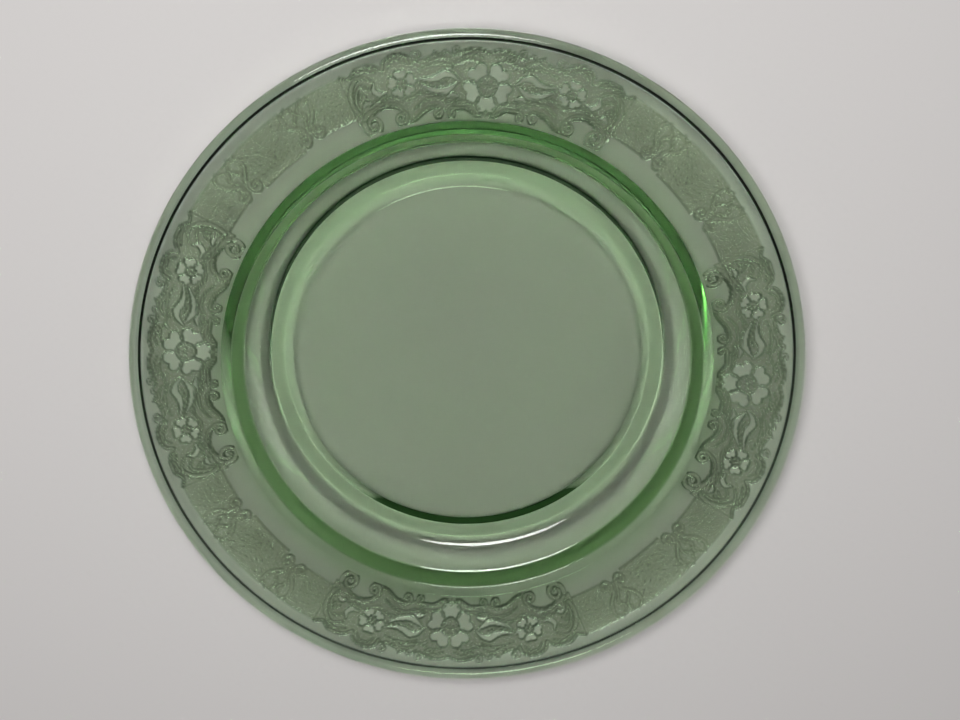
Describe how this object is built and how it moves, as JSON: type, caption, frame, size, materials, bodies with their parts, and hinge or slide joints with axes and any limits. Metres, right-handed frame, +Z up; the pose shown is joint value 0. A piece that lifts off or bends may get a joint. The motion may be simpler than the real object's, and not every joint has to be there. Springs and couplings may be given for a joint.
{
  "type": "uranium glass plate",
  "caption": "Round pressed-glass plate with a wide flat rim, a well with a stepped wall and a low foot ring to stand on.",
  "frame": {"origin": "centre of the foot ring's resting plane", "axes": "+Z up along the plate's axis of revolution; +Y towards the rim's top as the plate is pictured standing up, +X to its right"},
  "size_m": [0.2032, 0.2032, 0.021],
  "materials": {
    "green_glass": "clear pale yellow-green pressed glass, fire polished, with a frosted low relief on the rim's underside"
  },
  "bodies": {
    "root": {"plate": "green_glass"}
  },
  "joints": []
}
